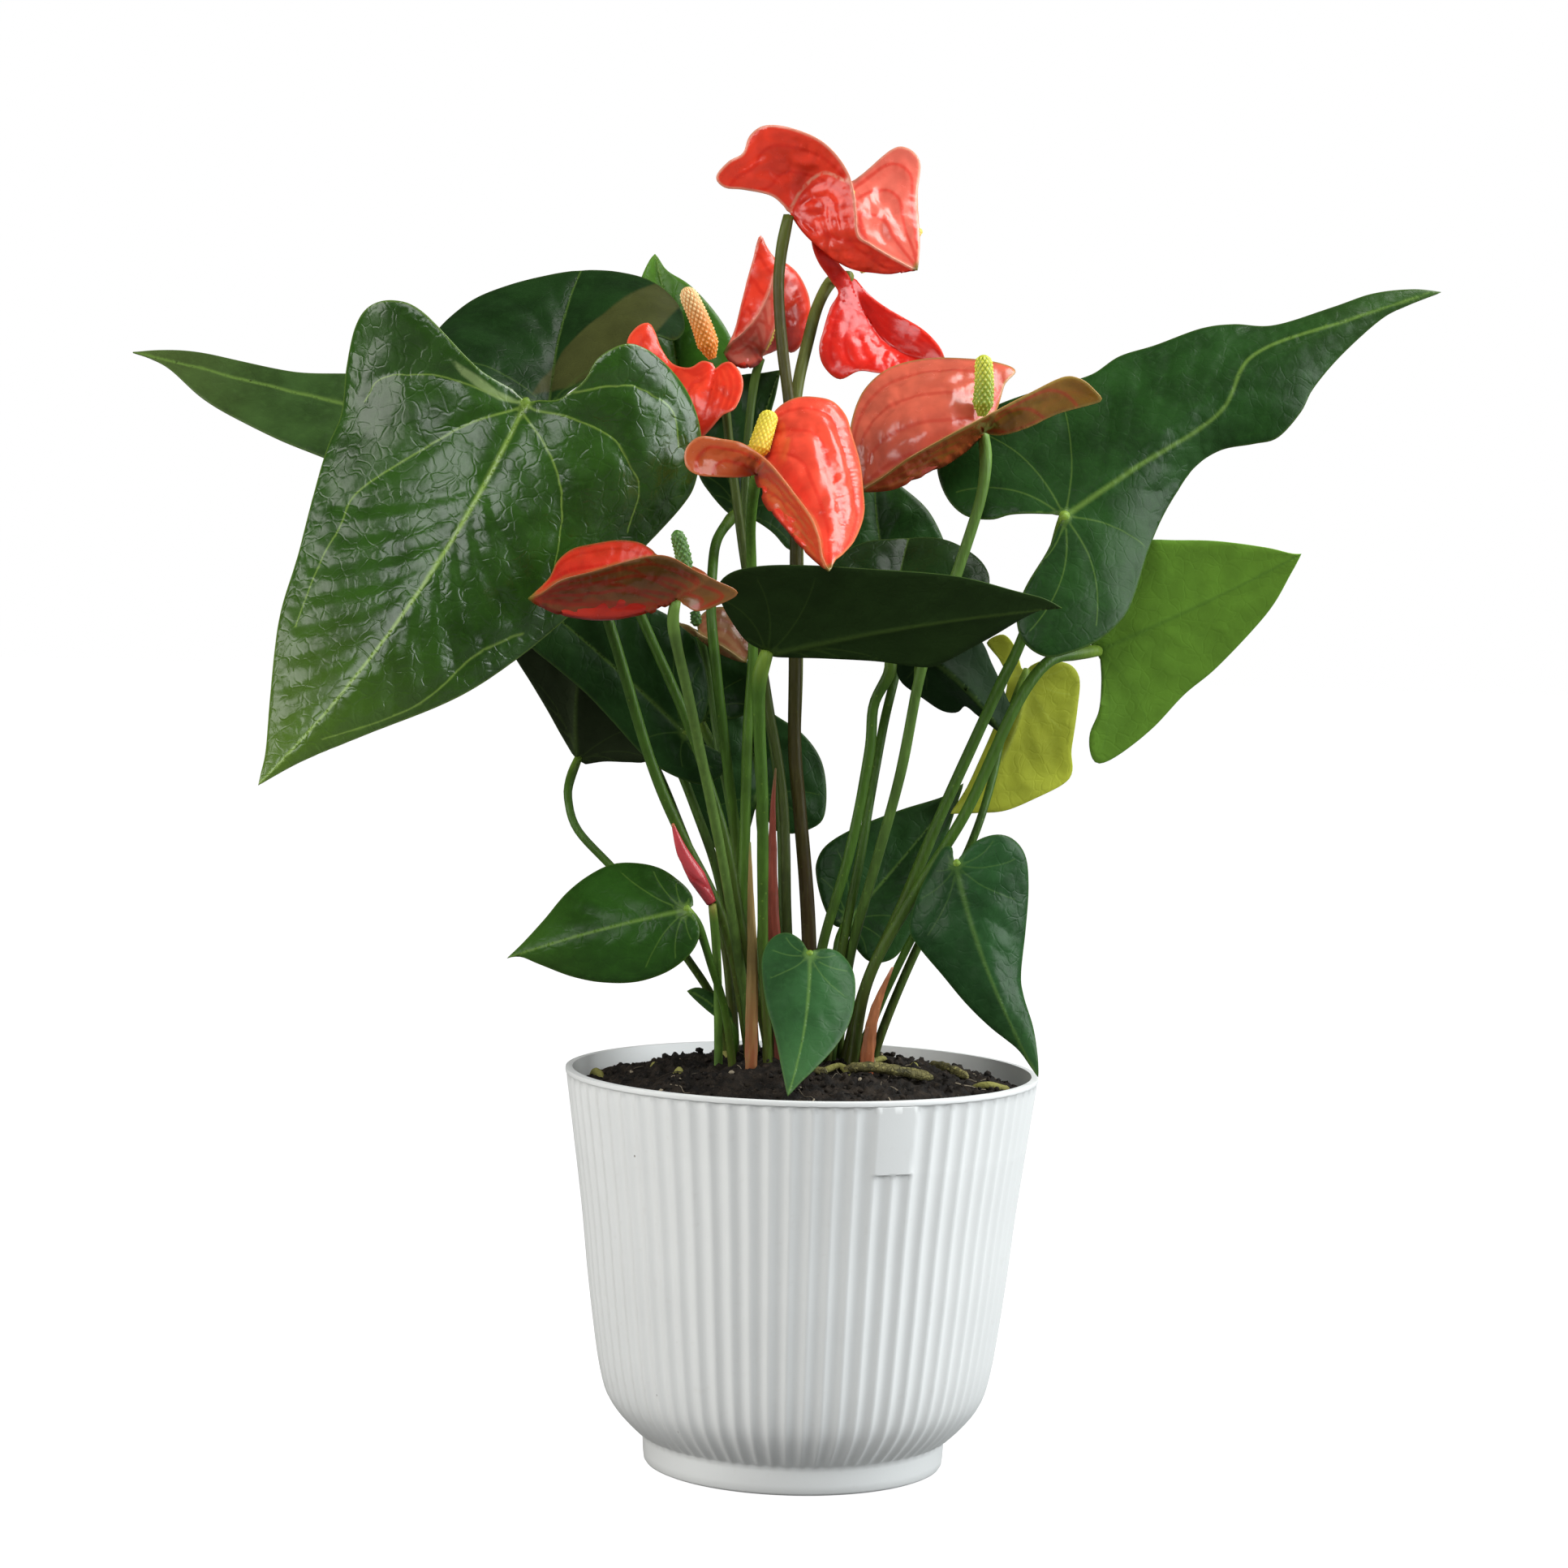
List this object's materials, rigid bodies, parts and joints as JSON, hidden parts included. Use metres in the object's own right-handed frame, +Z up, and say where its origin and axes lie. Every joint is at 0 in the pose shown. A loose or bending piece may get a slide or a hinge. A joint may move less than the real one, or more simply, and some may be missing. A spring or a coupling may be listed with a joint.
{
  "type": "potted flowering aroid",
  "caption": "Heart-leaved flowering plant with long-stalked blooms of red spathe and upright spadix, rooted in a ribbed round planter to stand on a table.",
  "frame": {"origin": "centre of the pot's flat underside, on the surface it stands on", "axes": "+Z up along the pot's axis, -Y towards the front of the plant"},
  "size_m": [0.3937, 0.1562, 0.3961],
  "materials": {
    "pot_plastic": "matte white, ribbed",
    "potting_soil": "moist crumbly peat",
    "aerial_root": "dull olive-tan bark",
    "dry_sheath": "dry papery sheath",
    "bud_red": "satin plant tissue",
    "stalk_green": "smooth green stem",
    "dark_leaf": "waxy dark green leaf",
    "mid_leaf": "waxy green leaf",
    "bright_leaf": "satin light green leaf",
    "yellow_leaf": "satin yellow-green leaf",
    "coral_spathe": "waxy coral spathe",
    "red_spathe": "glossy red spathe",
    "brown_spathe": "waxy orange-brown spathe",
    "tan_spathe": "waxy tan spathe",
    "yellow_spadix": "matte beaded yellow",
    "orange_spadix": "matte beaded cream to orange",
    "green_spadix": "matte beaded green"
  },
  "bodies": {
    "root": {"pot": "pot_plastic", "soil": "potting_soil", "root_tan": "aerial_root", "root_olive_front": "aerial_root", "root_olive_right": "aerial_root", "root_small": "aerial_root", "sheath_red": "dry_sheath", "sheath_tan": "dry_sheath", "sheath_orange": "dry_sheath", "bud": "bud_red", "bud_stalk": "stalk_green", "leaf_front_left": "dark_leaf", "leaf_far_left": "dark_leaf", "leaf_back_left": "dark_leaf", "leaf_back_pointed": "mid_leaf", "leaf_big_right": "dark_leaf", "leaf_bright_right": "bright_leaf", "leaf_yellow_right": "yellow_leaf", "leaf_centre": "dark_leaf", "leaf_centre_back": "dark_leaf", "leaf_upright_back": "dark_leaf", "leaf_left_under": "dark_leaf", "leaf_left_middle": "dark_leaf", "leaf_left_inner": "dark_leaf", "leaf_inner_back": "dark_leaf", "leaf_low_right_back": "dark_leaf", "leaf_low_right": "dark_leaf", "leaf_low_left": "dark_leaf", "leaf_small_front": "dark_leaf", "leaf_small_base": "dark_leaf", "leaf_right_folded": "dark_leaf", "leaf_behind_blooms": "dark_leaf", "bloom_top_spathe": "coral_spathe", "bloom_top_spadix": "yellow_spadix", "bloom_top_stalk": "stalk_green", "bloom_hanging_spathe": "red_spathe", "bloom_hanging_spadix": "yellow_spadix", "bloom_hanging_stalk": "stalk_green", "bloom_orange_spathe": "red_spathe", "bloom_orange_spadix": "orange_spadix", "bloom_orange_stalk": "stalk_green", "bloom_upright_spathe": "coral_spathe", "bloom_upright_spadix": "yellow_spadix", "bloom_upright_stalk": "stalk_green", "bloom_yellow_spathe": "red_spathe", "bloom_yellow_spadix": "yellow_spadix", "bloom_yellow_stalk": "stalk_green", "bloom_wide_spathe": "coral_spathe", "bloom_wide_spadix": "yellow_spadix", "bloom_wide_stalk": "stalk_green", "bloom_low_spathe": "brown_spathe", "bloom_low_spadix": "green_spadix", "bloom_low_stalk": "stalk_green", "bloom_hidden_spathe": "tan_spathe", "bloom_hidden_spadix": "green_spadix", "bloom_hidden_stalk": "stalk_green"}
  },
  "joints": []
}
